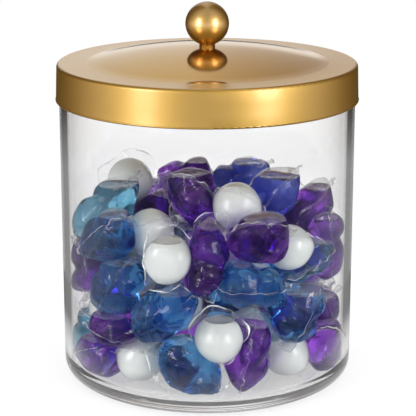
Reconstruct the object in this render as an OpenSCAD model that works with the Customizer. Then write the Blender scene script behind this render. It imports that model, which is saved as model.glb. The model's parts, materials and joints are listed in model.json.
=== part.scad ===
// Clear round jar with a lift-off metal lid, part filled with two-chamber laundry pods.
// Millimetres, Z up. The origin is the centre of the foot, on the surface that the jar stands on.

/* [Jar] */
// Outer diameter of the jar
jar_d = 150; // [130:1:170]
// Height of the jar without its lid
jar_h = 160; // [145:1:200]
// Thickness of the jar's wall
jar_wall = 3.5; // [2.5:0.25:5]
// Thickness of the jar's floor
jar_floor = 6; // [4:0.5:9]
// Radius of the rounded edge round the foot
foot_r = 8; // [5:0.5:10]
// Radius of the corner between the wall and the floor inside
inner_corner_r = 6; // [3:0.5:8]
// Depth of the shallow recess in the underside
foot_recess = 0.8; // [0.4:0.1:1.5]
// Width of the ring that the jar stands on
foot_ring_w = 7; // [4:0.5:12]
// Radius of the rounding on both edges of the mouth
mouth_r = 1.2; // [0.4:0.1:1.2]

/* [Lid] */
// Thickness of the lid's sheet metal
lid_t = 0.8; // [0.5:0.05:0.85]
// Gap between the jar's wall and the lid's skirt
lid_gap = 0.3; // [0.3:0.05:1]
// Height of the skirt, from the flat rim down
skirt_h = 18.8; // [12:0.2:26]
// How far the skirt flares outwards from its top to its hem
skirt_flare = 0.6; // [0:0.1:1.5]
// Radius of the small rolled hem at the skirt's lower edge
hem_r = 0.6; // [0.45:0.05:0.7]
// Outer radius of the bend between the skirt and the flat rim
rim_bend_r = 1.8; // [1.4:0.1:3]
// Width of the flat rim round the dome
rim_w = 14.4; // [8:0.2:22]
// Height of the dome above the flat rim
dome_rise = 7.5; // [4:0.5:12]
// Thickness of the soft ring between the lid and the jar's mouth
seal_t = 2; // [1:0.5:3]
// Width of the soft ring
seal_w = 5; // [4:0.5:8]
// Gap between the soft ring and the bend of the lid
seal_gap = 0.2; // [0.1:0.05:0.4]

/* [Knob] */
// Diameter of the ball
ball_d = 22; // [16:0.5:30]
// Diameter of the neck under the ball
neck_d = 8; // [7:0.5:12]
// Height of the neck that shows under the ball
neck_h = 1.5; // [1:0.5:6]
// Diameter of the screw's thread
screw_d = 4; // [3:0.5:5]
// Length of the screw under its head
screw_l = 12; // [9:1:14]
// Clearance round the screw in each hole
screw_gap = 0.15; // [0.1:0.05:0.3]
// Diameter of the screw's head
head_d = 8; // [7:0.5:10]
// Height of the screw's head
head_h = 2.6; // [2:0.2:3.4]
// Diameter of the washer
washer_d = 12; // [10:0.5:16]
// Thickness of the washer
washer_t = 0.8; // [0.5:0.1:1.2]

/* [Pods] */
// Length of a pod, across both of its chambers
pod_l = 48; // [44:0.5:52]
// Width of a pod
pod_w = 45; // [41:0.5:48]
// Thickness of a pod
pod_t = 27; // [24:0.5:30]
// Diameter of the round white chamber
pearl_d = 26; // [23:0.5:29]
// How far the white chamber is set into the gel chamber's outline
pearl_tuck = 10; // [6:0.5:14]
// Width of the film edge that stands out round each chamber
film_w = 3; // [1:0.5:5]
// Gap left between pods that press on each other, and between a pod and the jar
pod_gap = 0.3; // [0.2:0.05:0.5]
// Height that one layer of pods takes up
layer_h = 25; // [24:0.5:28]

/* [Hidden] */
$fn = 96;
JAR_R = jar_d / 2;
JAR_IN = JAR_R - jar_wall;
LID_IN = JAR_R + lid_gap;
LID_R = LID_IN + lid_t;
RIM_Z = jar_h + seal_t + lid_t;
HEM_Z = RIM_Z - skirt_h;
DOME_EDGE = LID_R - rim_w;
DOME_R = (DOME_EDGE * DOME_EDGE + dome_rise * dome_rise) / (2 * dome_rise);
SEAL_R = LID_R - rim_bend_r - seal_gap;
SEAT_D = washer_d + 2;
SEAT_Z = RIM_Z + DOME_R * cos(asin(SEAT_D / 2 / DOME_R)) - (DOME_R - dome_rise);
BALL_Z = SEAT_Z + neck_h + sqrt(ball_d * ball_d - neck_d * neck_d) / 2;
HOLE_D = screw_d + 2 * screw_gap;
WASHER_Z = SEAT_Z - lid_t - washer_t;

GELS = ["#4b1d86", "#1d4f9e", "#5a5fd0", "#69a9c9"];
PURPLE = 0;
BLUE = 1;
PERIWINKLE = 2;
CYAN = 3;

// One row to a pod: bearing round the jar with 0 in front, distance in from the wall, height above
// the floor in layers, heading of the white chamber in plan with 0 to the back and 90 to the right,
// its rise above level, roll of the pouch about its length from lying flat, and the gel's colour.
FRONT_SEEDS = [
    // On the floor
    [-84, 16, 0.75, 0, -10, 60, CYAN],
    [-52, 15, 0.50, 110, 0, 40, PURPLE],
    [-2, 15, 0.85, 105, 42, 90, BLUE],
    [24, 24, 0.95, 10, 5, 90, PURPLE],
    [63, 15, 0.55, -110, -10, 40, PURPLE],
    // Second layer
    [84, 16, 1.00, 10, 0, 80, PURPLE],
    [-58, 18, 1.20, -20, 10, 10, PURPLE],
    [-20, 22, 1.60, 15, -10, 40, BLUE],
    [54, 22, 1.55, -20, 10, 70, BLUE],
    [24, 22, 2.30, 0, 0, 5, BLUE],
    [-54, 22, 2.05, 20, 0, 80, BLUE],
    [-86, 14, 2.10, 0, 0, 85, PURPLE],
    // Third layer
    [58, 22, 2.50, 0, 0, 30, BLUE],
    [-9, 14, 2.75, -115, 10, 90, PURPLE],
    [-51, 22, 2.95, 70, 5, 40, BLUE],
    [86, 14, 2.60, 0, 0, 85, PURPLE],
    [34, 16, 2.95, 55, -20, 30, PURPLE],
    [-80, 20, 3.15, 0, -20, 50, CYAN],
    // On top
    [96, 22, 2.95, 0, -10, 60, PURPLE],
    [-125, 28, 3.10, -90, 60, 60, PURPLE],
    [-170, 20, 3.20, 20, -15, 20, PURPLE],
    [162, 20, 3.20, 0, -15, 20, PERIWINKLE],
    [10, 48, 3.50, 115, 5, 60, PURPLE],
    [90, 40, 3.40, 10, 0, 50, PERIWINKLE],
];
// The pods along the back of the wall stand in staggered rows, with their white ends turned in
BACK_ROWS = 3;
BACK_COUNT = 6;
BACK_FROM = 112;
BACK_STEP = 25;
BACK_INSET = 20;
BACK_LEVEL = 0.7;
BACK_RISE = 0.98;
BACK_SEEDS = [for (row = [0:BACK_ROWS - 1], k = [0:BACK_COUNT - 1])
    let (bearing = BACK_FROM + BACK_STEP * (k + (row % 2) / 2), odd = (row + k) % 2)
    [bearing, BACK_INSET, BACK_LEVEL + BACK_RISE * row, bearing + (odd ? 180 : -35),
     odd ? 10 : -15, odd ? 80 : 15, (row + 2 * k) % 5 < 3 ? PURPLE : BLUE]];
// The pods in the middle lie in pairs, each pair turned across the one below
MIDDLE_ROWS = 3;
MIDDLE_TURN = 80;
MIDDLE_INSET = 52;
MIDDLE_LEVEL = 0.65;
MIDDLE_SEEDS = [for (row = [0:MIDDLE_ROWS - 1], side = [0, 1])
    let (bearing = MIDDLE_TURN * row + 180 * side)
    [bearing, MIDDLE_INSET, MIDDLE_LEVEL + row, bearing + 90, 0, 60, side == 0 ? PURPLE : BLUE]];
SEEDS = concat(FRONT_SEEDS, BACK_SEEDS, MIDDLE_SEEDS);

FIXED_NODES = ["jar", "lid_shell", "seal_ring", "knob", "knob_screw", "knob_washer"];

// Rings of the grid that wraps a chamber, as angles above and below the seam of the pouch
GEL_RINGS = [66, 38, 13, 0, -13, -38, -66];
PEARL_RINGS = [54, 18, 0, -18, -54];
GEL_SIDES = 12;
PEARL_SIDES = 10;
// A higher power squares the pouch off, and 2 would leave it an ellipsoid
PILLOW = 2.4;
// A higher power makes a sharper edge where a pod is pressed flat
PRESS = 14;
// The round white chambers are filled tighter than the gel ones, and keep more of the room between two
PEARL_FIRM = 1.7;
// How much further than its half sizes a squared pouch reaches into its corners
CORNER_REACH = 1.15;

function total(v, i = 0) = i < len(v) ? v[i] + total(v, i + 1) : 0;
function unit(v) = v / norm(v);

// Axes of a pod: towards the white chamber, across the pouch, and out of the flat of the pouch
function pod_axes(heading, rise, roll) =
    let (length_axis = [sin(heading) * cos(rise), cos(heading) * cos(rise), sin(rise)],
         upper = [-sin(heading) * sin(rise), -cos(heading) * sin(rise), cos(rise)],
         flat = upper * cos(roll) + cross(upper, length_axis) * sin(roll))
    [length_axis, cross(flat, length_axis), flat];

function pod_centre(seed) =
    let (reach = JAR_IN - seed[1])
    [reach * sin(seed[0]), -reach * cos(seed[0]), jar_floor + seed[2] * layer_h];

// A chamber is [centre, axes, half sizes, power, rings, sides, firmness]
function gel_chamber(seed) =
    let (axes = pod_axes(seed[3], seed[4], seed[5]), half_l = (pod_l - pearl_d + pearl_tuck) / 2)
    [pod_centre(seed) - axes[0] * (pod_l / 2 - half_l), axes, [half_l, pod_w / 2, pod_t / 2],
     PILLOW, GEL_RINGS, GEL_SIDES, 1];
function pearl_chamber(seed) =
    let (axes = pod_axes(seed[3], seed[4], seed[5]), r = pearl_d / 2)
    [pod_centre(seed) + axes[0] * (pod_l / 2 - r), axes, [r, r, r], 2, PEARL_RINGS, PEARL_SIDES,
     PEARL_FIRM];

CHAMBERS = [for (seed = SEEDS) each [gel_chamber(seed), pearl_chamber(seed)]];

// Distance from a chamber's centre to its free surface along a direction
function free_radius(c, d) =
    1 / pow(total([for (k = [0:2]) pow(abs(d * c[1][k]) / c[2][k], c[3])]), 1 / c[3]);
function reach(c) = max(c[2]) * CORNER_REACH + film_w;

// Planes where a chamber meets its neighbours, each shared out by size and firmness: [normal, distance]
function contacts(n) =
    let (c = CHAMBERS[n])
    [for (k = [0:len(CHAMBERS) - 1])
        let (other = CHAMBERS[k], v = other[0] - c[0], gap = norm(v))
        if (k != n && gap < reach(c) + reach(other))
            let (d = v / gap, mine = free_radius(c, d) * c[6],
                 theirs = free_radius(other, -d) * other[6])
            [d, gap * mine / (mine + theirs) - pod_gap / 2]];

// Distance from a point inside the jar to its wall along a direction
function to_wall(p, d) =
    let (a = d.x * d.x + d.y * d.y, b = p.x * d.x + p.y * d.y,
         c = p.x * p.x + p.y * p.y - pow(JAR_IN - pod_gap, 2))
    a < 0.001 ? 1000 : (-b + sqrt(b * b - a * c)) / a;
function to_floor(p, d) = d.z < -0.001 ? (p.z - jar_floor - pod_gap) / -d.z : 1000;

// How far a point lies past the rounded corner between the jar's wall and floor
function past_corner(p) =
    let (rho = norm([p.x, p.y]) - (JAR_IN - inner_corner_r), z = jar_floor + inner_corner_r - p.z)
    rho > 0 && z > 0 ? norm([rho, z]) - (inner_corner_r - pod_gap) : -1;
function clear_of_corner(p, d, r) = past_corner(p + d * r) > 0 ? clear_of_corner(p, d, r * 0.97) : r;

function pressed_radius(c, planes, d, film) =
    let (limits = concat([free_radius(c, d) + film, to_wall(c[0], d), to_floor(c[0], d)],
                         [for (plane = planes) if (plane[0] * d > 0.05) plane[1] / (plane[0] * d)]),
         r = pow(total([for (limit = limits) pow(1 / limit, PRESS)]), -1 / PRESS))
    clear_of_corner(c[0], d, r);

// A closed skin round the chamber: a grid of rings between two poles, with the seam as a thin fin
module chamber(n) {
    c = CHAMBERS[n];
    planes = contacts(n);
    rings = c[4];
    sides = c[5];
    last = len(rings) * sides;
    directions = concat(
        [for (ring = rings, i = [0:sides - 1])
            let (a = 360 * i / sides)
            c[1][0] * cos(ring) * cos(a) + c[1][1] * cos(ring) * sin(a) + c[1][2] * sin(ring)],
        [c[1][2], -c[1][2]]);
    points = [for (k = [0:last + 1])
        let (film = k < last && rings[floor(k / sides)] == 0 ? film_w : 0)
        c[0] + directions[k] * pressed_radius(c, planes, directions[k], film)];
    bands = [for (j = [0:len(rings) - 2], i = [0:sides - 1])
        let (a = j * sides + i, b = j * sides + (i + 1) % sides)
        each [[a, b, a + sides], [b, b + sides, a + sides]]];
    caps = [for (i = [0:sides - 1])
        each [[last, (i + 1) % sides, i],
              [last + 1, last - sides + i, last - sides + (i + 1) % sides]]];
    polyhedron(points, concat(bands, caps), convexity = 4);
}

module pod(n) {
    color(GELS[SEEDS[n][6]]) chamber(2 * n);
    color("#eceff0") chamber(2 * n + 1);
}

// Half section of a straight cup with rounded lower corners, from its axis out
module cup_section(r, z0, z1, corner) {
    translate([0, z0 + corner]) square([r, z1 - z0 - corner]);
    translate([0, z0]) square([r - corner, corner + 1]);
    translate([r - corner, z0 + corner]) intersection() {
        circle(corner);
        translate([0, -corner]) square(corner);
    }
}

module jar() {
    lip_r = min(mouth_r, jar_wall / 2 - 0.1);
    color("#dfe8ea", 0.35) rotate_extrude() difference() {
        union() {
            cup_section(JAR_R, 0, jar_h - lip_r, foot_r);
            translate([JAR_IN + lip_r, jar_h - lip_r - 1]) square([jar_wall - 2 * lip_r, lip_r + 1]);
            for (x = [JAR_IN + lip_r, JAR_R - lip_r]) translate([x, jar_h - lip_r]) circle(lip_r);
        }
        difference() {
            cup_section(JAR_IN, jar_floor, jar_h - lip_r, inner_corner_r);
            translate([JAR_IN + lip_r, jar_h - lip_r]) circle(lip_r);
        }
        translate([0, jar_h - lip_r - 0.5]) square([JAR_IN, 1]);
        translate([-1, -1]) square([JAR_R - foot_r - foot_ring_w + 1, foot_recess + 1]);
    }
}

// Half section of everything below one surface of the lid, a set distance in from its outside
module lid_section(inset, bottom) {
    bend = rim_bend_r - inset;
    top = RIM_Z - inset;
    r = LID_R - inset;
    polygon([[0, bottom], [r + skirt_flare * (RIM_Z - bottom) / skirt_h, bottom],
             [r, RIM_Z - rim_bend_r], [r - bend, RIM_Z - rim_bend_r], [r - bend, top], [0, top]]);
    translate([LID_R - rim_bend_r, RIM_Z - rim_bend_r]) intersection() {
        circle(bend);
        square(bend);
    }
    intersection() {
        translate([0, RIM_Z + dome_rise - DOME_R]) circle(DOME_R - inset, $fn = 360);
        translate([0, top - 1]) square([DOME_EDGE + lid_t, SEAT_Z - inset - top + 1]);
    }
}

module lid_shell() {
    hem_x = LID_R + skirt_flare - lid_t / 2;
    color("#c9a04a") rotate_extrude($fn = 180) difference() {
        union() {
            difference() {
                lid_section(0, HEM_Z + hem_r);
                lid_section(lid_t, HEM_Z + hem_r - 1);
            }
            translate([hem_x, HEM_Z + hem_r]) circle(hem_r);
        }
        translate([-1, SEAT_Z - 3]) square([HOLE_D / 2 + 1, 6]);
    }
}

module seal_ring() {
    color("#e8e8e4") rotate_extrude()
        translate([SEAL_R - seal_w, jar_h]) square([seal_w, seal_t]);
}

module knob() {
    bore_l = screw_l - lid_t - washer_t + 2;
    color("#c39a45") rotate_extrude() difference() {
        union() {
            translate([0, BALL_Z]) intersection() {
                circle(ball_d / 2);
                translate([0, -ball_d / 2]) square([ball_d / 2, ball_d]);
            }
            translate([0, SEAT_Z]) square([neck_d / 2, BALL_Z - SEAT_Z]);
        }
        translate([-1, SEAT_Z - 1]) square([HOLE_D / 2 + 1, bore_l + 1]);
    }
}

module knob_screw() {
    slot_w = head_d / 7;
    color("#9a9da0") difference() {
        translate([0, 0, WASHER_Z]) rotate_extrude() {
            square([screw_d / 2, screw_l]);
            intersection() {
                translate([0, -head_h]) square([head_d / 2, head_h]);
                translate([0, head_d - head_h]) circle(head_d);
            }
        }
        translate([0, 0, WASHER_Z - head_h]) for (a = [0, 90]) rotate(a)
            cube([head_d * 0.6, slot_w, head_h], center = true);
    }
}

module knob_washer() {
    color("#a8abae") translate([0, 0, WASHER_Z]) difference() {
        cylinder(d = washer_d, h = washer_t);
        translate([0, 0, -1]) cylinder(d = HOLE_D, h = washer_t + 2);
    }
}

jar();
lid_shell();
seal_ring();
knob();
knob_screw();
knob_washer();
for (i = [1:len(SEEDS)]) pod(i - 1);
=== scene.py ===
"""A clear acrylic jar of laundry pods with a satin gold lid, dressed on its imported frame."""

import json
import logging
import math
import random
from dataclasses import dataclass, field
from enum import Enum

import bpy
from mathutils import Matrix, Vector
from mathutils.bvhtree import BVHTree


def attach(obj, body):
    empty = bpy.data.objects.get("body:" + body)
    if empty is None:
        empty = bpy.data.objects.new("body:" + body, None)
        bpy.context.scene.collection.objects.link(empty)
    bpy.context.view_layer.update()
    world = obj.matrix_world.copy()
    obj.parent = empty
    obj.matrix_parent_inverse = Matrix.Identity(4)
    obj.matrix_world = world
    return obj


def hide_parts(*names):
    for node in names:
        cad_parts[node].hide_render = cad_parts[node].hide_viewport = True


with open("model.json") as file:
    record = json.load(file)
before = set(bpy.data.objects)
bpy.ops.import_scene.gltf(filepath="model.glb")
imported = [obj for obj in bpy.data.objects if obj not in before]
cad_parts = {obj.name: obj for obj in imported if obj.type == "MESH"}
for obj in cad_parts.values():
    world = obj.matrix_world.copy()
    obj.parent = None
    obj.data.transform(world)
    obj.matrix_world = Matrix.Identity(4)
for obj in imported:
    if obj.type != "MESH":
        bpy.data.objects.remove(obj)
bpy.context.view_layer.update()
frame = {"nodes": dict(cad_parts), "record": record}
SEAL_MARK = "sealed_edge"
MM = 0.001
WAVE_PERIOD = 0.314  # metres between the bands of a wave texture of scale 1
MERGE_DISTANCE = 0.001 * MM
MENISCUS_WIDTH = 0.7 * MM
MENISCUS_DEPTH = 0.35 * MM
POD_SMOOTH_DEGREES = 40
LID_SMOOTH_DEGREES = 35


log = logging.getLogger("laundry_pods")


def linear(code: str) -> tuple[float, float, float, float]:
    """Turns an sRGB hex code into a linear colour.

    Args:
        code: six hex digits, such as "c89b40".

    Returns:
        Red, green, blue and an alpha of 1.
    """
    parts = [int(code[i:i + 2], 16) / 255 for i in (0, 2, 4)]
    wide = [c / 12.92 if c <= 0.04045 else ((c + 0.055) / 1.055) ** 2.4 for c in parts]
    return wide[0], wide[1], wide[2], 1.0


WHITE = linear("ffffff")


def add_node(tree: bpy.types.NodeTree, kind: str, settings: dict | None = None) -> bpy.types.Node:
    """Adds one shader node with its settings and its incoming links.

    Args:
        tree: the node tree to add to.
        kind: the node's type name.
        settings: attribute names, or input names or numbers, each with its value or with the
            output socket that feeds it.

    Returns:
        The new node.
    """
    node = tree.nodes.new(kind)
    for key, value in (settings or {}).items():
        if isinstance(value, bpy.types.NodeSocket):
            tree.links.new(value, node.inputs[key])
        elif isinstance(key, str) and hasattr(node, key):
            setattr(node, key, value)
        else:
            node.inputs[key].default_value = value
    return node


def fresh_material(name: str) -> tuple[bpy.types.Material, bpy.types.NodeTree, bpy.types.Node]:
    """Makes an empty node material.

    Args:
        name: what the material is and how it was made.

    Returns:
        The material, its node tree and its output node.
    """
    material = bpy.data.materials.new(name)
    material.use_nodes = True
    tree = material.node_tree
    tree.nodes.clear()
    return material, tree, add_node(tree, "ShaderNodeOutputMaterial")


def object_place(tree: bpy.types.NodeTree) -> bpy.types.NodeSocket:
    """Returns the socket with the place on the object, in metres.

    Args:
        tree: the node tree.
    """
    return add_node(tree, "ShaderNodeTexCoord").outputs["Object"]


def calculate(tree: bpy.types.NodeTree, operation: str,
              *values: float | bpy.types.NodeSocket) -> bpy.types.NodeSocket:
    """Adds one step of arithmetic.

    Args:
        tree: the node tree.
        operation: the step's name.
        values: its numbers and sockets, in order.

    Returns:
        The result's output socket.
    """
    settings = {"operation": operation} | dict(enumerate(values))
    return add_node(tree, "ShaderNodeMath", settings).outputs[0]


def blend(tree: bpy.types.NodeTree, value: bpy.types.NodeSocket, between: tuple[float, float],
          low: float | bpy.types.NodeSocket = 0.0,
          high: float | bpy.types.NodeSocket = 1.0) -> bpy.types.NodeSocket:
    """Turns a value into a level that runs from low to high and stays level outside.

    Args:
        tree: the node tree.
        value: the socket with the value.
        between: the values at which the level is low and high.
        low: the low level.
        high: the high level.

    Returns:
        The level's output socket.
    """
    return add_node(tree, "ShaderNodeMapRange", {
        "Value": value, "From Min": between[0], "From Max": between[1], "To Min": low,
        "To Max": high}).outputs[0]


def mix(tree: bpy.types.NodeTree, share: float | bpy.types.NodeSocket, first: object,
        second: object, kind: str = "ShaderNodeMixRGB") -> bpy.types.NodeSocket:
    """Mixes two colours, or two shaders.

    Args:
        tree: the node tree.
        share: the second one's share, from 0 to 1.
        first: the first colour or socket.
        second: the second colour or socket.
        kind: the mixing node's type name.

    Returns:
        The mixture's output socket.
    """
    return add_node(tree, kind, {0: share, 1: first, 2: second}).outputs[0]


def add_noise(tree: bpy.types.NodeTree, place: bpy.types.NodeSocket, spacing_mm: float,
              detail: float, swirl: float = 0.0) -> bpy.types.NodeSocket:
    """Adds a soft noise round 0.5.

    Args:
        tree: the node tree.
        place: the socket with the place on the object.
        spacing_mm: about how far apart its patches lie.
        detail: how many finer layers it has.
        swirl: how much its patches are drawn out.

    Returns:
        The noise's output socket.
    """
    return add_node(tree, "ShaderNodeTexNoise", {
        "Vector": place, "Scale": 1 / (spacing_mm * MM), "Detail": detail,
        "Distortion": swirl}).outputs[0]


def add_bump(tree: bpy.types.NodeTree, height: bpy.types.NodeSocket,
             strength: float | bpy.types.NodeSocket, depth_mm: float,
             below: bpy.types.NodeSocket | None = None) -> bpy.types.NodeSocket:
    """Adds a bump.

    Args:
        tree: the node tree.
        height: the socket with the height, from 0 to 1.
        strength: how much of it shows, from 0 to 1.
        depth_mm: how high 1 stands.
        below: the socket of a bump that this one lies on.

    Returns:
        The bumped normal's output socket.
    """
    settings = {"Height": height, "Strength": strength, "Distance": depth_mm * MM}
    if below is not None:
        settings["Normal"] = below
    return add_node(tree, "ShaderNodeBump", settings).outputs[0]


def film_creases(tree: bpy.types.NodeTree, place: bpy.types.NodeSocket, spacing_mm: float,
                 width: float, swirl: float = 0.8) -> bpy.types.NodeSocket:
    """Draws the thin raised creases that stretched film leaves on what it holds.

    Args:
        tree: the node tree.
        place: the socket with the place on the object.
        spacing_mm: about how far apart the creases run.
        width: their width as a share of the noise's range.
        swirl: how much they wander.

    Returns:
        The height's output socket, 1 on a crease and 0 between them.
    """
    off = calculate(tree, "SUBTRACT", add_noise(tree, place, spacing_mm, detail=0.0, swirl=swirl), 0.5)
    return blend(tree, calculate(tree, "ABSOLUTE", off), (0.0, width), 1.0, 0.0)


class Gel(Enum):
    """The gels, each with its slot, body colour, the darker tone of its painted shade and absorption per
    metre.
    """

    # The third colour of each gel is the darker tone painted in as shade.
    PURPLE = ("gel_purple", "c070f4", "501690", 20.0)
    BLUE = ("gel_blue", "84ccf6", "2268b8", 18.0)
    PERIWINKLE = ("gel_periwinkle", "a4b4ff", "5c74e8", 15.0)
    CYAN = ("gel_cyan", "ace2f4", "58aad2", 10.0)

    @property
    def slot(self) -> str:
        """The record's material slot."""
        return self.value[0]

    @property
    def body(self) -> str:
        """The hex colour of the gel."""
        return self.value[1]

    @property
    def deep(self) -> str:
        """The hex colour of its painted shade: darker patches that stand in for thicker gel."""
        return self.value[2]

    @property
    def strength(self) -> float:
        """Absorption per metre."""
        return self.value[3]


@dataclass(frozen=True)
class LaundryGel:
    """Dyed laundry gel, mixed and poured, under its thin film.

    It gives the eye a clear, deep colour: bright where light comes through, dark where pods lie behind
    each other, with small sharp highlights, and painted shade: slow streaked patches of a darker tone that
    stand in for the darkening of thicker gel.
    """

    gel: Gel
    ior: float = 1.4
    roughness: float = 0.02
    clear: float = 0.93
    # The painted shade's patches: their size, their swirl and the noise range over which the tone darkens.
    shade_patch_mm: float = 15.0
    shade_patch_swirl: float = 0.6
    shade_patch_range: tuple[float, float] = (0.35, 0.65)
    wrinkle_mm: float = 4.0
    wrinkle_strength: float = 0.1
    wrinkle_depth_mm: float = 0.2
    crease_mm: float = 11.0
    crease_width: float = 0.035
    crease_strength: float = 0.35
    crease_depth_mm: float = 0.5

    def build(self) -> bpy.types.Material:
        """Returns the material."""
        material, tree, out = fresh_material(f"dyed_{self.gel.slot}_in_film")
        place = object_place(tree)
        # Painted shade: a slow noise lays a darker tone in streaked patches, standing in for thicker gel.
        painted_shade = add_noise(tree, place, self.shade_patch_mm, detail=1.0, swirl=self.shade_patch_swirl)
        colour = mix(tree, blend(tree, painted_shade, self.shade_patch_range), linear(self.gel.body),
                     linear(self.gel.deep))
        wrinkles = add_bump(tree, add_noise(tree, place, self.wrinkle_mm, detail=2.0),
                            self.wrinkle_strength, self.wrinkle_depth_mm)
        creases = film_creases(tree, place, self.crease_mm, self.crease_width)
        normal = add_bump(tree, creases, self.crease_strength, self.crease_depth_mm, wrinkles)
        surface = add_node(tree, "ShaderNodeBsdfPrincipled", {
            "Base Color": colour, "Roughness": self.roughness, "IOR": self.ior,
            "Transmission Weight": self.clear, "Normal": normal})
        volume = add_node(tree, "ShaderNodeVolumeAbsorption", {
            "Color": linear(self.gel.body), "Density": self.gel.strength})
        tree.links.new(surface.outputs[0], out.inputs["Surface"])
        tree.links.new(volume.outputs[0], out.inputs["Volume"])
        return material


@dataclass(frozen=True)
class PearlLiquid:
    """Opaque white detergent, drawn tight into its round chamber by the film.

    It gives the eye a milky ball with a soft body, faint cool clouds and the film's sharper gloss.
    """

    colour: str = "f4f6f6"
    cloud: str = "e2ebe7"
    cloud_mm: float = 18.0
    roughness: float = 0.3
    film_roughness: float = 0.1
    crease_mm: float = 16.0
    crease_width: float = 0.02
    crease_strength: float = 0.15
    crease_depth_mm: float = 0.3

    def build(self) -> bpy.types.Material:
        """Returns the material."""
        material, tree, out = fresh_material("opaque_white_detergent_in_film")
        place = object_place(tree)
        clouds = add_noise(tree, place, self.cloud_mm, detail=1.0)
        creases = film_creases(tree, place, self.crease_mm, self.crease_width)
        surface = add_node(tree, "ShaderNodeBsdfPrincipled", {
            "Base Color": mix(tree, clouds, linear(self.colour), linear(self.cloud)),
            "Roughness": self.roughness, "Coat Weight": 1.0, "Coat Roughness": self.film_roughness,
            "Normal": add_bump(tree, creases, self.crease_strength, self.crease_depth_mm)})
        tree.links.new(surface.outputs[0], out.inputs["Surface"])
        return material


@dataclass(frozen=True)
class PouchFilm:
    """Clear water-soluble film, blown thin and heat sealed.

    It gives the eye almost nothing face on, a pale rim where it turns away, small glints on its crinkles
    and a painted highlight: a white matt line along its sealed edge that comes and goes, where the edge
    would catch the light.
    """

    facing_alpha: float = 0.03
    cap_alpha: float = 0.11
    edge_alpha: float = 0.6
    edge_blend: float = 0.3
    # The painted highlight line along the sealed edge: how faint it is where a slow noise fades it, how
    # strong elsewhere, and that noise's size and range.
    faded_highlight_alpha: float = 0.1
    highlight_line_alpha: float = 1.0
    highlight_fading_mm: float = 9.0
    highlight_fading_range: tuple[float, float] = (0.4, 0.6)
    cap_marks: tuple[float, float] = (0.0, 0.1)
    sheet_marks: tuple[float, float] = (0.0, 0.25)
    # The marks where the painted highlight line lies, on the flange's outer strip.
    highlight_line_marks: tuple[float, float] = (0.7, 0.8)
    crinkle_mm: float = 2.2
    crinkle_depth_mm: float = 0.4
    cap_crinkle: float = 0.03
    sheet_crinkle: float = 0.4
    film_metallic: float = 0.5
    # A low metallic turns the painted highlight line matt white, so that plain light shows it bright.
    highlight_line_metallic: float = 0.1
    roughness: float = 0.1

    def build(self) -> bpy.types.Material:
        """Returns the material."""
        material, tree, out = fresh_material("heat_sealed_clear_film")
        place = object_place(tree)
        mark = add_node(tree, "ShaderNodeAttribute", {"attribute_name": SEAL_MARK}).outputs["Fac"]
        crinkled = blend(tree, mark, self.sheet_marks, self.cap_crinkle, self.sheet_crinkle)
        normal = add_bump(tree, add_noise(tree, place, self.crinkle_mm, detail=3.0), crinkled,
                          self.crinkle_depth_mm)
        turned = add_node(tree, "ShaderNodeLayerWeight", {"Blend": self.edge_blend, "Normal": normal})
        cap = blend(tree, mark, self.cap_marks, self.cap_alpha, self.facing_alpha)
        alpha = blend(tree, turned.outputs["Facing"], (0.0, 1.0), cap, self.edge_alpha)
        # Painted highlight: a white line along the sealed edge, faded in and out by a slow noise and added
        # to the film's opacity.
        highlight_fading = add_noise(tree, place, self.highlight_fading_mm, detail=1.0)
        painted_highlight_strength = blend(tree, highlight_fading, self.highlight_fading_range, self.faded_highlight_alpha, self.highlight_line_alpha)
        line = blend(tree, mark, self.highlight_line_marks, 0.0, painted_highlight_strength)
        surface = add_node(tree, "ShaderNodeBsdfPrincipled", {
            "Base Color": WHITE, "Roughness": self.roughness,
            "Metallic": blend(tree, mark, self.highlight_line_marks, self.film_metallic, self.highlight_line_metallic),
            "Alpha": calculate(tree, "ADD", line, alpha), "Normal": normal})
        tree.links.new(surface.outputs[0], out.inputs["Surface"])
        return material


@dataclass(frozen=True)
class ClearAcrylic:
    """Clear acrylic, moulded and flame polished.

    It gives the eye a quite clear wall with sharp reflections, and grey bands where the wall is seen
    edge on; a ripple too shallow to see as such keeps its lines from being drawn with a ruler. In the
    thick base a tenth of the surface is matt white instead of clear: painted light, which lightens its
    foot into pale lines.
    """

    ior: float = 1.49
    ripple_mm: float = 22.0
    ripple_strength: float = 0.3
    ripple_depth_mm: float = 0.1
    # Below base_top only the base_clear share stays clear; the rest is matt white, painted light that
    # lightens the foot.
    base_top: float = 8.5 * MM
    base_fade: float = 0.5 * MM
    base_clear: float = 0.9

    def build(self) -> bpy.types.Material:
        """Returns the material."""
        material, tree, out = fresh_material("polished_clear_acrylic")
        place = object_place(tree)
        ripple = add_noise(tree, place, self.ripple_mm, detail=0.0)
        height = add_node(tree, "ShaderNodeSeparateXYZ", {0: place}).outputs[2]
        fade = (self.base_top - self.base_fade, self.base_top + self.base_fade)
        surface = add_node(tree, "ShaderNodeBsdfPrincipled", {
            "Base Color": WHITE, "Roughness": 0.0, "IOR": self.ior,
            # Painted light: below the base's top part of the surface turns matt white, which lightens the
            # foot.
            "Transmission Weight": blend(tree, height, fade, self.base_clear),
            "Normal": add_bump(tree, ripple, self.ripple_strength, self.ripple_depth_mm)})
        tree.links.new(surface.outputs[0], out.inputs["Surface"])
        return material


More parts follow.
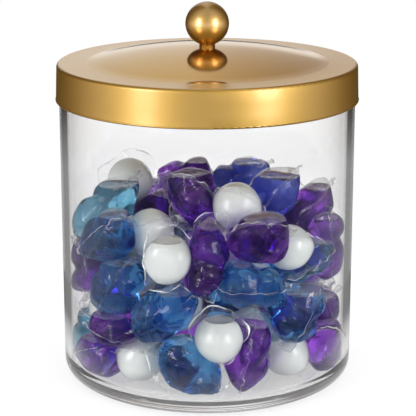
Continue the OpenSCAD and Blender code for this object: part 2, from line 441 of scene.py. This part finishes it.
@dataclass(frozen=True)
class SatinGold:
    """Pressed steel with a gold coating, brushed to satin on its skirt and rim and polished on its dome.

    It gives the eye a lacquered skirt with broad soft bands of gold that fall to brown at the sides, a
    paler rim, and a dome that mirrors the knob; a fine grain keeps the satin from looking like plastic.
    """

    skirt: str = "d0a233"
    dome: str = "c89e50"
    edge_tint: str = "4c1e04"
    skirt_roughness: float = 0.45
    dome_roughness: float = 0.1
    skirt_lacquer: float = 1.0
    dome_lacquer: float = 0.05
    lacquer_roughness: float = 0.27
    lacquer_ior: float = 1.85
    grain_mm: float = 0.7
    grain_strength: float = 0.3
    grain_depth_mm: float = 0.04
    dome_edge: float = 61.7 * MM
    dome_fade: float = 0.3 * MM
    rim_height: float = 162.0 * MM
    rim_fade: float = 0.5 * MM

    def build(self) -> bpy.types.Material:
        """Returns the material."""
        material, tree, out = fresh_material("gold_coated_pressed_steel")
        place = object_place(tree)
        split = add_node(tree, "ShaderNodeSeparateXYZ", {0: place})
        flat = add_node(tree, "ShaderNodeCombineXYZ", {0: split.outputs[0], 1: split.outputs[1]})
        radius = add_node(tree, "ShaderNodeVectorMath", {"operation": "LENGTH", 0: flat.outputs[0]})
        on_dome = blend(tree, radius.outputs["Value"],
                        (self.dome_edge + self.dome_fade, self.dome_edge - self.dome_fade))
        on_rim = blend(tree, split.outputs[2],
                       (self.rim_height - self.rim_fade, self.rim_height + self.rim_fade))
        grain = add_noise(tree, place, self.grain_mm, detail=2.0)
        surface = add_node(tree, "ShaderNodeBsdfPrincipled", {
            "Base Color": mix(tree, on_dome, linear(self.skirt), linear(self.dome)),
            "Metallic": 1.0,
            "Roughness": blend(tree, on_dome, (0.0, 1.0), self.skirt_roughness, self.dome_roughness),
            "Specular Tint": mix(tree, on_rim, linear(self.edge_tint), WHITE),
            "Coat Weight": blend(tree, on_dome, (0.0, 1.0), self.skirt_lacquer, self.dome_lacquer),
            "Coat Roughness": self.lacquer_roughness, "Coat IOR": self.lacquer_ior,
            "Normal": add_bump(tree, grain, self.grain_strength, self.grain_depth_mm)})
        tree.links.new(surface.outputs[0], out.inputs["Surface"])
        return material


@dataclass(frozen=True)
class TurnedGold:
    """The knob, turned on a lathe and satin polished under the lid's gold coating.

    It gives the eye two soft lamp spots, dark brown rims and the faintest turning rings.
    """

    colour: str = "daac48"
    edge_tint: str = "5c2c08"
    roughness: float = 0.42
    lacquer_roughness: float = 0.26
    lacquer_ior: float = 2.2
    turning_mm: float = 0.35
    turning_wobble: float = 0.5
    turning_strength: float = 0.04
    turning_depth_mm: float = 0.02

    def build(self) -> bpy.types.Material:
        """Returns the material."""
        material, tree, out = fresh_material("turned_satin_gold")
        rings = add_node(tree, "ShaderNodeTexWave", {
            "bands_direction": "Z", "Vector": object_place(tree),
            "Scale": WAVE_PERIOD / (self.turning_mm * MM), "Distortion": self.turning_wobble})
        normal = add_bump(tree, rings.outputs["Fac"], self.turning_strength, self.turning_depth_mm)
        surface = add_node(tree, "ShaderNodeBsdfPrincipled", {
            "Base Color": linear(self.colour), "Metallic": 1.0, "Roughness": self.roughness,
            "Coat Weight": 1.0, "Coat Roughness": self.lacquer_roughness,
            "Coat IOR": self.lacquer_ior, "Specular Tint": linear(self.edge_tint),
            "Normal": normal})
        tree.links.new(surface.outputs[0], out.inputs["Surface"])
        return material


@dataclass(frozen=True)
class PlainFinish:
    """A plain plated or moulded finish for what the lid hides.

    It gives the eye a fine uneven sheen, from the plating's crystals or the mould's texture.
    """

    name: str
    colour: str
    metallic: float
    roughness: float
    unevenness: float = 0.08
    grain_mm: float = 0.8
    grain_range: tuple[float, float] = (0.3, 0.7)
    grain_strength: float = 0.15
    grain_depth_mm: float = 0.03

    def build(self) -> bpy.types.Material:
        """Returns the material."""
        material, tree, out = fresh_material(self.name)
        grain = add_noise(tree, object_place(tree), self.grain_mm, detail=3.0)
        sheen = blend(tree, grain, self.grain_range, self.roughness - self.unevenness,
                      self.roughness + self.unevenness)
        surface = add_node(tree, "ShaderNodeBsdfPrincipled", {
            "Base Color": linear(self.colour), "Metallic": self.metallic, "Roughness": sheen,
            "Normal": add_bump(tree, grain, self.grain_strength, self.grain_depth_mm)})
        tree.links.new(surface.outputs[0], out.inputs["Surface"])
        return material


def deselect() -> None:
    bpy.ops.object.select_all(action="DESELECT")


def activate(obj: bpy.types.Object) -> None:
    """Makes one object the only selected and the active one.

    Args:
        obj: the object.
    """
    deselect()
    obj.select_set(True)
    bpy.context.view_layer.objects.active = obj


def apply_modifier(obj: bpy.types.Object, kind: str, **settings: object) -> None:
    """Adds a modifier to an object and applies it.

    Args:
        obj: the object.
        kind: the modifier's type.
        settings: its settings.
    """
    activate(obj)
    modifier = obj.modifiers.new(kind.lower(), kind)
    for key, value in settings.items():
        setattr(modifier, key, value)
    bpy.ops.object.modifier_apply(modifier=modifier.name)


def copy_object(obj: bpy.types.Object, name: str) -> bpy.types.Object:
    """Copies an object with its own mesh, free of any parent and mark.

    Args:
        obj: the object to copy.
        name: the copy's name.

    Returns:
        The copy.
    """
    mesh = obj.data.copy()
    mesh.name = name
    copy = bpy.data.objects.new(name, mesh)
    bpy.context.scene.collection.objects.link(copy)
    return copy


def bisect(obj: bpy.types.Object, height: float, keep_below: bool) -> None:
    """Cuts an object at a level plane.

    Args:
        obj: the object.
        height: the plane's height.
        keep_below: True keeps the lower part and closes its top, False keeps the open upper part.
    """
    activate(obj)
    bpy.ops.object.mode_set(mode="EDIT")
    bpy.ops.mesh.select_all(action="SELECT")
    bpy.ops.mesh.bisect(plane_co=(0, 0, height), plane_no=(0, 0, 1), use_fill=keep_below,
                        clear_outer=keep_below, clear_inner=not keep_below)
    if keep_below:
        bpy.ops.mesh.inset(thickness=MENISCUS_WIDTH, depth=-MENISCUS_DEPTH)
    bpy.ops.object.mode_set(mode="OBJECT")


@dataclass
class Chamber:
    """One chamber of a pod: its skin as one closed mesh, and its middle."""

    skin: bpy.types.Object
    centre: Vector = field(init=False)

    def __post_init__(self) -> None:
        """Finds the middle of the skin's points."""
        vertices = self.skin.data.vertices
        self.centre = sum((v.co for v in vertices), Vector()) / len(vertices)

    @property
    def span(self) -> tuple[float, float]:
        """The lowest and highest point."""
        heights = [v.co.z for v in self.skin.data.vertices]
        return min(heights), max(heights)

    def tree(self) -> BVHTree:
        """Returns a search tree of the skin."""
        mesh = self.skin.data
        return BVHTree.FromPolygons([v.co for v in mesh.vertices], [p.vertices for p in mesh.polygons])


@dataclass
class Pod:
    """One pod: two chambers, and the axes along its length, across it and through its seam."""

    node: str
    gel: Chamber
    pearl: Chamber
    length: Vector = field(default_factory=Vector)
    across: Vector = field(default_factory=Vector)
    through: Vector = field(default_factory=Vector)
    middle_share: float = 0.45

    def find_axes(self) -> None:
        """Finds the axes from the chambers: the gel chamber is flattest through its seam."""
        middle = self.gel.centre
        self.length = (self.gel.centre - self.pearl.centre).normalized()
        side = self.length.orthogonal().normalized()
        other = self.length.cross(side)
        xx = xy = yy = 0.0
        for vertex in self.gel.skin.data.vertices:
            away = vertex.co - middle
            x, y = away.dot(side), away.dot(other)
            xx, xy, yy = xx + x * x, xy + x * y, yy + y * y
        turn = 0.5 * math.atan2(2 * xy, xx - yy)
        self.across = (side * math.cos(turn) + other * math.sin(turn)).normalized()
        self.through = self.length.cross(self.across)

    @property
    def middle(self) -> Vector:
        """The point between the two chambers, a little nearer the gel."""
        return self.gel.centre.lerp(self.pearl.centre, self.middle_share)


@dataclass(frozen=True)
class SeamStep:
    """One step round a pod's seam: its direction, the skin's distance and the room beyond."""

    way: Vector
    edge: float
    room: float


@dataclass
class LaundryPods:
    """All the pods in the jar: gel, white detergent and film, each shaped from its frame solid."""

    voxel: float = 0.9 * MM
    merging: float = 0.01 * MM
    smoothing: float = 0.5
    gel_smoothing: int = 42
    pearl_smoothing: int = 70
    swelling: float = 0.5 * MM
    wall_margin: float = 0.2 * MM
    gel_air: tuple[float, float] = (0.06, 0.16)
    pearl_air: tuple[float, float] = (0.09, 0.15)
    pearl_aired: float = 0.4
    roundness: float = 0.65
    bulge: float = 0.8 * MM
    fold_depth: float = 2.4 * MM
    fold_width: float = 3.4 * MM
    fold_fade: float = 6.0 * MM
    fold_shift_mm: float = 4.0
    fold_lean: float = 0.35
    flange: float = 7.0 * MM
    flange_steps: int = 96
    flange_rows: int = 4
    room_probes: int = 8
    ray_length: float = 0.06
    skin_gap: float = 0.05 * MM
    clearance: float = 0.35 * MM
    sheet_margin: float = 3.5 * MM
    sheet_squareness: int = 6
    tuck: float = 0.3 * MM
    # The width of the flange's outer strip, which carries the film's painted highlight line.
    highlight_strip_width: float = 0.7 * MM
    crinkle: float = 0.7 * MM
    crinkle_room: float = 2.0 * MM
    crinkle_waves: tuple[tuple[int, float], ...] = ((17, 1.0), (29, 0.7), (7, 0.5))
    border_waves: int = 11
    border_depth: float = 0.1
    jar_inside: float = 71.5 * MM
    jar_floor: float = 6.0 * MM
    seed: int = 12
    pods: list[Pod] = field(default_factory=list)

    def shape_pod(self, node: str) -> Pod:
        """Shapes the two chambers of one pod.

        Args:
            node: the pod's node.

        Returns:
            The pod, with closed and smoothed skins.
        """
        whole = copy_object(frame["nodes"][node], f"{node}_skin")
        activate(whole)
        bpy.ops.object.mode_set(mode="EDIT")
        bpy.ops.mesh.select_all(action="SELECT")
        bpy.ops.mesh.remove_doubles(threshold=self.merging)
        bpy.ops.mesh.separate(type="LOOSE")
        bpy.ops.object.mode_set(mode="OBJECT")
        parts = sorted(bpy.context.selected_objects, key=lambda o: -len(o.data.vertices))
        rounds = {"gel": self.gel_smoothing, "pearl": self.pearl_smoothing}
        for part, (name, count) in zip(parts, rounds.items()):
            part.name = f"{node}_{name}_skin"
            apply_modifier(part, "REMESH", mode="VOXEL", voxel_size=self.voxel)
            apply_modifier(part, "SMOOTH", factor=self.smoothing, iterations=count)
        pod = Pod(node, Chamber(parts[0]), Chamber(parts[1]))
        self.swell(pod.gel)
        self.round_off(pod.pearl)
        pod.find_axes()
        return pod

    def swell(self, chamber: Chamber) -> None:
        """Gives a smoothed skin back what smoothing took, inside the jar.

        Args:
            chamber: the chamber.
        """
        wall = self.jar_inside - self.wall_margin
        floor = self.jar_floor + self.wall_margin
        vertices = chamber.skin.data.vertices
        points = [vertex.co + vertex.normal * self.swelling for vertex in vertices]
        for vertex, point in zip(vertices, points):
            if math.hypot(point.x, point.y) < wall and point.z > floor:
                vertex.co = point

    def round_off(self, chamber: Chamber) -> None:
        """Draws a chamber's skin towards a ball, bulging only a little.

        Args:
            chamber: the chamber.
        """
        vertices = chamber.skin.data.vertices
        reaches = sorted((v.co - chamber.centre).length for v in vertices)
        ball = reaches[len(reaches) // 2]
        for vertex in vertices:
            away = vertex.co - chamber.centre
            change = min((ball - away.length) * self.roundness, self.bulge)
            vertex.co += away.normalized() * change

    def fold(self, pod: Pod, chance: random.Random) -> None:
        """Presses a soft fold along the gel chamber, which leaves two lobes.

        Args:
            pod: the pod.
            chance: the source of the fold's place and lean.
        """
        place = chance.uniform(-self.fold_shift_mm, self.fold_shift_mm) * MM
        lean = chance.uniform(-self.fold_lean, self.fold_lean)
        middle = pod.gel.centre
        for vertex in pod.gel.skin.data.vertices:
            away = vertex.co - middle
            off = away.dot(pod.across) - place - lean * away.dot(pod.length)
            height = away.dot(pod.through)
            depth = self.fold_depth * math.exp(-(off / self.fold_width) ** 2)
            depth *= min(1.0, abs(height) / self.fold_fade)
            vertex.co -= pod.through * math.copysign(depth, height)

    def outline(self, pod: Pod, trees: list[BVHTree], everything: BVHTree) -> list[SeamStep]:
        """Follows the pod's seam and finds the room outside it.

        Args:
            pod: the pod.
            trees: the search trees of its own two skins.
            everything: the search tree of all skins.

        Returns:
            The steps round the seam.
        """
        middle = pod.middle
        steps = []
        for step in range(self.flange_steps):
            angle = math.tau * step / self.flange_steps
            way = pod.length * math.cos(angle) + pod.across * math.sin(angle)
            edge = 0.0
            for tree in trees:
                hit = tree.ray_cast(middle + way * self.ray_length, -way, self.ray_length)
                if hit[0] is not None:
                    edge = max(edge, self.ray_length - hit[3])
            start = middle + way * (edge + self.skin_gap)
            room = self.room_beyond(start, way, everything)
            steps.append(SeamStep(way, edge, max(0.0, min(self.flange, room - self.clearance))))
        return steps

    def room_beyond(self, start: Vector, way: Vector, everything: BVHTree) -> float:
        """Measures the room from a point to the next skin, the jar's wall or its floor.

        Args:
            start: the point.
            way: the direction.
            everything: the search tree of all skins.

        Returns:
            The room's length.
        """
        hit = everything.ray_cast(start, way, self.flange * 2)
        room = hit[3] if hit[0] is not None else self.flange * 2
        for probe in range(1, self.room_probes + 1):
            reach = self.flange * probe / self.room_probes
            point = start + way * reach
            if math.hypot(point.x, point.y) > self.jar_inside or point.z < self.jar_floor:
                return min(room, reach)
        return room

    def sheet_rooms(self, pod: Pod, steps: list[SeamStep]) -> list[float]:
        """Evens out the room round a pod and keeps it inside a sheet with rounded corners.

        Args:
            pod: the pod.
            steps: the steps round its seam.

        Returns:
            The film's reach past the skin at each step.
        """
        count = len(steps)
        rooms = [min(steps[(i + k) % count].room for k in (-1, 0, 1)) for i in range(count)]
        near = (-2, -1, 0, 1, 2)
        rooms = [sum(rooms[(i + k) % count] for k in near) / len(near) for i in range(count)]
        rooms = [min(room, step.room) for room, step in zip(rooms, steps)]
        half_length, half_width = [
            max(abs(step.way.dot(axis)) * step.edge for step in steps) + self.sheet_margin
            for axis in (pod.length, pod.across)]
        power = self.sheet_squareness
        for index, step in enumerate(steps):
            border = ((abs(step.way.dot(pod.length)) / half_length) ** power
                      + (abs(step.way.dot(pod.across)) / half_width) ** power) ** (-1 / power)
            rooms[index] = min(rooms[index], max(0.0, border - step.edge))
        return rooms

    def make_flange(self, pod: Pod, everything: BVHTree, chance: random.Random) -> bpy.types.Object:
        """Makes the sealed edge of the film, as wide as its neighbours leave it.

        Args:
            pod: the pod.
            everything: the search tree of all skins.
            chance: the source of the crinkles.

        Returns:
            The flange.
        """
        steps = self.outline(pod, [pod.gel.tree(), pod.pearl.tree()], everything)
        rooms = self.sheet_rooms(pod, steps)
        phases = [chance.uniform(0, math.tau) for _ in self.crinkle_waves]
        deselect()
        bpy.ops.mesh.primitive_circle_add(vertices=len(steps), radius=1.0, fill_type="NOTHING")
        sheet = bpy.context.active_object
        sheet.name = f"{pod.node}_flange"
        bpy.ops.object.mode_set(mode="EDIT")
        for _ in range(self.flange_rows):
            bpy.ops.mesh.extrude_region_move()
        bpy.ops.object.mode_set(mode="OBJECT")
        middle = pod.middle
        marks = []
        for index, vertex in enumerate(sheet.data.vertices):
            row, place = divmod(index, len(steps))
            step, room = steps[place], rooms[place]
            share = min(row / (self.flange_rows - 1), 1.0)
            angle = math.tau * place / len(steps)
            wave = sum(size * math.sin(turns * angle + phase)
                       for (turns, size), phase in zip(self.crinkle_waves, phases))
            border = math.sin(self.border_waves * angle + phases[1])
            wide = room * (1 - self.border_depth + self.border_depth * border)
            lift = self.crinkle * share * wave * min(1.0, room / self.crinkle_room)
            reach = step.edge - self.tuck * (1 - share) + max(0.0, wide - self.highlight_strip_width) * share
            # The outer row reaches out by the strip that carries the painted highlight line.
            reach += self.highlight_strip_width * (row == self.flange_rows)
            vertex.co = middle + step.way * reach + pod.through * lift
            marks.append(row / self.flange_rows)
        mark = sheet.data.attributes.new(SEAL_MARK, "FLOAT", "POINT")
        mark.data.foreach_set("value", marks)
        return sheet

    def fill(self, chamber: Chamber, name: str, share: float,
             liquid: bpy.types.Material) -> bpy.types.Object:
        """Fills one chamber to its level, which leaves its skin as clear film over the air above.

        Args:
            chamber: the chamber.
            name: the name of the liquid's piece.
            share: the part of the chamber's height that is air.
            liquid: the liquid's material.

        Returns:
            The liquid's piece.
        """
        low, high = chamber.span
        level = high - (high - low) * share
        body = copy_object(chamber.skin, name)
        if share:
            bisect(body, level, True)
        bisect(chamber.skin, level, False)
        self.finish(body, liquid)
        return body

    def finish(self, piece: bpy.types.Object, material: bpy.types.Material) -> None:
        """Smooths a piece, dresses it and ties it to the jar.

        Args:
            piece: the piece.
            material: its material.
        """
        activate(piece)
        bpy.ops.object.shade_smooth_by_angle(angle=math.radians(POD_SMOOTH_DEGREES))
        piece.data.materials.clear()
        piece.data.materials.append(material)
        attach(piece, "jar")

    def all_skins(self) -> BVHTree:
        """Returns a search tree of every chamber's skin."""
        points, faces = [], []
        for pod in self.pods:
            for chamber in (pod.gel, pod.pearl):
                mesh = chamber.skin.data
                start = len(points)
                points.extend(v.co.copy() for v in mesh.vertices)
                faces.extend([start + i for i in p.vertices] for p in mesh.polygons)
        return BVHTree.FromPolygons(points, faces)

    def build(self) -> None:
        """Builds every pod and reports it."""
        finishes = {gel.slot: LaundryGel(gel).build() for gel in Gel}
        pearl = PearlLiquid().build()
        film = PouchFilm().build()
        slots = {part["node"]: part["material_slot"] for part in frame["record"]["subparts"]}
        nodes = sorted((n for n in frame["nodes"] if n.startswith("pod_")),
                       key=lambda n: int(n.split("_")[1]))
        self.pods = [self.shape_pod(node) for node in nodes]
        chance = random.Random(self.seed)
        for pod in self.pods:
            self.fold(pod, chance)
        everything = self.all_skins()
        flanges = [self.make_flange(pod, everything, chance) for pod in self.pods]
        for pod, flange in zip(self.pods, flanges):
            slot = slots[pod.node]
            body = self.fill(pod.gel, f"{pod.node}_gel", chance.uniform(*self.gel_air),
                             finishes[slot])
            air = chance.uniform(*self.pearl_air) if chance.random() < self.pearl_aired else 0.0
            self.fill(pod.pearl, f"{pod.node}_white", air, pearl)
            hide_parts(pod.node)
            deselect()
            for sheet in (flange, pod.gel.skin, pod.pearl.skin):
                sheet.select_set(True)
            bpy.context.view_layer.objects.active = flange
            bpy.ops.object.join()
            flange.name = f"{pod.node}_film"
            self.finish(flange, film)
            log.info("pod %s", pod.node)


@dataclass
class StorageJar:
    """The clear jar."""

    def build(self) -> None:
        """Dresses the jar."""
        dress("jar", ClearAcrylic().build())


@dataclass
class GoldLid:
    """The lid with its knob, seal and fixings."""

    def build(self) -> None:
        """Dresses the lid's pieces."""
        steel = PlainFinish("bright_zinc_plate", "b4b6b8", metallic=1.0, roughness=0.3).build()
        smooth_stand_in("lid_shell", "gold_lid", "lid", SatinGold().build())
        smooth_stand_in("knob", "ball_knob", "lid", TurnedGold().build())
        silicone = PlainFinish("moulded_silicone", "e9e9e4", metallic=0.0, roughness=0.5).build()
        dress("seal_ring", silicone)
        dress("knob_screw", steel)
        dress("knob_washer", steel)


def dress(node: str, material: bpy.types.Material) -> None:
    """Gives a frame node its material.

    Args:
        node: the node's name.
        material: its material.
    """
    mesh = frame["nodes"][node].data
    mesh.materials.clear()
    mesh.materials.append(material)
    log.info("dressed %s with %s", node, material.name)


def smooth_stand_in(node: str, name: str, body: str,
                    material: bpy.types.Material) -> bpy.types.Object:
    """Replaces a frame node by a copy whose triangles are joined and softly shaded.

    Args:
        node: the node's name.
        name: the new piece's name.
        body: the body it moves with.
        material: its material.

    Returns:
        The piece.
    """
    piece = copy_object(frame["nodes"][node], name)
    activate(piece)
    bpy.ops.object.mode_set(mode="EDIT")
    bpy.ops.mesh.select_all(action="SELECT")
    bpy.ops.mesh.remove_doubles(threshold=MERGE_DISTANCE)
    bpy.ops.object.mode_set(mode="OBJECT")
    bpy.ops.object.shade_smooth_by_angle(angle=math.radians(LID_SMOOTH_DEGREES))
    apply_modifier(piece, "WEIGHTED_NORMAL", mode="FACE_AREA", weight=50, keep_sharp=True)
    piece.data.materials.clear()
    piece.data.materials.append(material)
    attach(piece, body)
    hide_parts(node)
    log.info("smoothed %s with %s", node, material.name)
    return piece


Stops = tuple[tuple[float, float, float], ...]


@dataclass
class Studio:
    """The camera at the photograph's viewing angle, and plain soft light round a pale floor."""

    distance: float = 0.8022
    height: float = 0.3030
    pitch: float = 15.15
    sensor_mm: float = 36.0
    focal_px: float = 1603.6
    side_px: float = 0.8
    image_px: float = 416.0
    lamps: tuple[tuple[str, float], ...] = (("left_softbox", -46.0), ("right_softbox", 44.0))
    lamp_rise: float = 12.0
    lamp_away: float = 1.4
    lamp_size: tuple[float, float] = (0.45, 0.8)
    lamp_power: float = 7.5
    lamp_aim: float = 0.1
    plain_light: float = 1.3
    green_loss: float = 0.5
    blue_loss: float = 0.75
    mirror_line: float = -0.215
    mirror_fade: float = 0.01
    ceiling_reach: float = 0.28
    ceiling: Stops = (
        (0.0, 0.78, 0.0), (0.3, 0.86, 0.0), (0.46, 0.86, 0.05), (0.58, 0.7, 0.15), (0.75, 0.54, 0.2),
        (1.0, 0.48, 0.25))
    upper: Stops = (
        (0.0, 0.4, 0.2), (0.3, 0.6, 0.0), (0.5, 0.36, 0.3), (0.65, 0.08, 0.8), (0.85, 0.04, 1.0))
    walls: Stops = (
        (0.0, 1.02, 0.0), (0.2, 1.06, 0.0), (0.36, 1.05, 0.0), (0.46, 0.92, 0.1), (0.56, 0.56, 0.3),
        (0.66, 0.18, 0.7), (0.76, 0.04, 1.0), (0.9, 0.02, 1.0), (1.0, 0.02, 1.0))
    ground: Stops = ((0.0, 0.05, 0.0), (0.35, 0.07, 0.0), (0.55, 0.3, 0.0), (1.0, 0.25, 0.0))
    ceiling_bearings: tuple[float, float] = (0.84, 0.9)
    ceiling_rises: tuple[float, float] = (0.545, 0.58)
    backdrop_bearings: tuple[float, float] = (0.9, 0.94)
    backdrop_rises: tuple[float, float] = (0.475, 0.49)
    floor_r: float = 0.2
    floor_sides: int = 96
    floor_drop: float = 0.0004
    floor_colour: str = "f4f4f4"
    floor_glow: float = 0.75
    side_band: tuple[float, float] = (0.09, 0.055)
    side_levels: tuple[float, float] = (0.22, 0.85)
    front_band: tuple[float, float] = (-0.02, 0.03)
    front_level: float = 0.07
    near_band: tuple[float, float] = (0.14, 0.1)
    near_level: float = 0.75

    def camera(self) -> None:
        """Places the camera."""
        data = bpy.data.cameras.new("photo_camera")
        data.sensor_width = self.sensor_mm
        data.lens = self.focal_px * data.sensor_width / self.image_px
        data.shift_x = self.side_px / self.image_px
        camera = bpy.data.objects.new("photo_camera", data)
        bpy.context.scene.collection.objects.link(camera)
        camera.location = (0, -self.distance, self.height)
        camera.rotation_euler = (math.radians(90 - self.pitch), 0, 0)
        bpy.context.scene.camera = camera

    def ramp(self, tree: bpy.types.NodeTree, value: bpy.types.NodeSocket,
             stops: Stops) -> bpy.types.NodeSocket:
        """Turns a value into a level of light by a few stops.

        Args:
            tree: the node tree.
            value: the socket with the value.
            stops: each stop's place, its level and how brown it is, from 0 to 1.

        Returns:
            The level's output socket.
        """
        node = add_node(tree, "ShaderNodeValToRGB", {0: value})
        elements = node.color_ramp.elements
        while len(elements) < len(stops):
            elements.new(0.5)
        for element, (at, level, brown) in zip(elements, stops):
            element.position = at
            green = level * (1 - self.green_loss * brown)
            blue = level * (1 - self.blue_loss * brown)
            element.color = (level, green, blue, 1)
        return node.outputs[0]

    def step(self, tree: bpy.types.NodeTree, value: bpy.types.NodeSocket,
             between: tuple[float, float]) -> bpy.types.NodeSocket:
        """Turns a value into 0 below a band, 1 above it and a slope within it.

        Args:
            tree: the node tree.
            value: the socket with the value.
            between: the band's two ends.

        Returns:
            The output socket.
        """
        return self.ramp(tree, value, ((between[0], 0.0, 0.0), (between[1], 1.0, 0.0)))

    def world(self) -> None:
        """Makes the studio round the jar, by where a ray looks and what it has met.

        Straight sight and matt surfaces get plain white light. Mirrored sight gets pale walls in front and
        brown ones behind, dark ground below them, upper walls with a ceiling at the back, and a white
        backdrop there. The walls end above what the jar's upright wall mirrors, so that it stays clear.
        """
        world = bpy.data.worlds.new("studio")
        bpy.context.scene.world = world
        world.use_nodes = True
        tree = world.node_tree
        tree.nodes.clear()
        out = add_node(tree, "ShaderNodeOutputWorld")
        place = add_node(tree, "ShaderNodeTexCoord").outputs["Generated"]
        split = add_node(tree, "ShaderNodeSeparateXYZ", {0: place})
        front = calculate(tree, "MULTIPLY", split.outputs[1], -1.0)
        bearing = calculate(tree, "ARCTAN2", split.outputs[0], front)
        share = calculate(tree, "DIVIDE", calculate(tree, "ABSOLUTE", bearing), math.pi)
        rise = calculate(tree, "MULTIPLY_ADD", split.outputs[2], 0.5, 0.5)
        line = 0.5 + 0.5 * self.mirror_line
        above = blend(tree, rise, (line - self.mirror_fade, line + self.mirror_fade))
        level = mix(tree, above, self.ramp(tree, share, self.ground),
                    self.ramp(tree, share, self.walls))
        matt, clear, through = self.paths(tree)
        tall = self.step(tree, rise, self.backdrop_rises)
        wide = self.step(tree, share, self.backdrop_bearings)
        backdrop = calculate(tree, "MULTIPLY", wide, calculate(tree, "MAXIMUM", tall, through))
        backed = mix(tree, backdrop, level, WHITE)
        sideways = blend(tree, split.outputs[0], (-self.ceiling_reach, self.ceiling_reach))
        over = mix(tree, self.step(tree, share, self.ceiling_bearings),
                   self.ramp(tree, share, self.upper), self.ramp(tree, sideways, self.ceiling))
        sky = mix(tree, self.step(tree, rise, self.ceiling_rises), backed, over)
        light = mix(tree, matt, sky, (*[self.plain_light] * 3, 1))
        shaded = add_node(tree, "ShaderNodeBackground", {0: light, "Strength": 1.0})
        white = add_node(tree, "ShaderNodeBackground", {0: WHITE, "Strength": 1.0})
        seen = mix(tree, clear, shaded.outputs[0], white.outputs[0], "ShaderNodeMixShader")
        tree.links.new(seen, out.inputs["Surface"])

    def paths(self, tree: bpy.types.NodeTree) -> tuple[bpy.types.NodeSocket, ...]:
        """Tells light that matt surfaces gather, and straight sight, from mirrored sight.

        Args:
            tree: the node tree.

        Returns:
            The socket that is 1 for matt surfaces, the one that is 1 for sight that nothing mirrored,
            and the one that is 1 for sight through acrylic, film or gel.
        """
        path = add_node(tree, "ShaderNodeLightPath")
        matt = calculate(tree, "MINIMUM", path.outputs["Diffuse Depth"], 1.0)
        bounced = calculate(tree, "ADD", path.outputs["Diffuse Depth"], path.outputs["Glossy Depth"])
        clear = calculate(tree, "LESS_THAN", bounced, 0.5)
        through = calculate(tree, "MINIMUM", path.outputs["Transmission Depth"], 1.0)
        return matt, clear, through

    def lamp(self, name: str, bearing: float) -> None:
        """Hangs one softbox that faces the jar.

        Args:
            name: the lamp's name.
            bearing: degrees round the jar, 0 in front and 90 to the right.
        """
        data = bpy.data.lights.new(name, "AREA")
        data.shape = "RECTANGLE"
        data.size, data.size_y = self.lamp_size
        data.energy = self.lamp_power
        lamp = bpy.data.objects.new(name, data)
        bpy.context.scene.collection.objects.link(lamp)
        b, r = math.radians(bearing), math.radians(self.lamp_rise)
        out = Vector((math.sin(b) * math.cos(r), -math.cos(b) * math.cos(r), math.sin(r)))
        lamp.location = Vector((0, 0, self.lamp_aim)) + out * self.lamp_away
        lamp.rotation_euler = (-out).to_track_quat("-Z", "Y").to_euler()

    def floor_finish(self) -> bpy.types.Material:
        """Makes the pale floor's finish.

        It gives the eye a nearly white ground with the jar's soft shadow. In mirrored sight it is dark in
        front and at the sides, and pale behind the jar and close round it.

        Returns:
            The material.
        """
        material, tree, out = fresh_material("pale_studio_floor")
        matt, clear, _ = self.paths(tree)
        place = object_place(tree)
        radius = add_node(tree, "ShaderNodeVectorMath", {"operation": "LENGTH", 0: place})
        split = add_node(tree, "ShaderNodeSeparateXYZ", {0: place})
        sideways = calculate(tree, "ABSOLUTE", split.outputs[0])
        behind = blend(tree, sideways, self.side_band, *self.side_levels)
        far = blend(tree, split.outputs[1], self.front_band, self.front_level, behind)
        near = blend(tree, radius.outputs["Value"], self.near_band, far, self.near_level)
        mirrored = add_node(tree, "ShaderNodeEmission", {"Strength": near}).outputs[0]
        bright = add_node(tree, "ShaderNodeEmission", {"Strength": 1.0}).outputs[0]
        paper = add_node(tree, "ShaderNodeBsdfDiffuse", {"Color": linear(self.floor_colour)}).outputs[0]
        seen = mix(tree, self.floor_glow, paper, bright, "ShaderNodeMixShader")
        lit = mix(tree, matt, mirrored, paper, "ShaderNodeMixShader")
        shown = mix(tree, clear, lit, seen, "ShaderNodeMixShader")
        tree.links.new(shown, out.inputs["Surface"])
        return material

    def floor(self) -> None:
        """Lays the pale floor, just under the jar's foot."""
        deselect()
        bpy.ops.mesh.primitive_circle_add(vertices=self.floor_sides, radius=self.floor_r,
                                          fill_type="NGON", location=(0, 0, -self.floor_drop))
        disc = bpy.context.active_object
        disc.name = "pale_floor"
        disc.data.materials.append(self.floor_finish())

    def build(self) -> None:
        """Sets up the whole studio."""
        bpy.context.scene.view_settings.view_transform = "Standard"
        self.camera()
        self.world()
        for name, bearing in self.lamps:
            self.lamp(name, bearing)
        self.floor()


def main() -> None:
    """Builds the studio, then the jar, its lid and its pods."""
    logging.basicConfig(level=logging.INFO, format="%(name)s: %(message)s")
    Studio().build()
    StorageJar().build()
    GoldLid().build()
    LaundryPods().build()


if __name__ == "__main__":
    main()
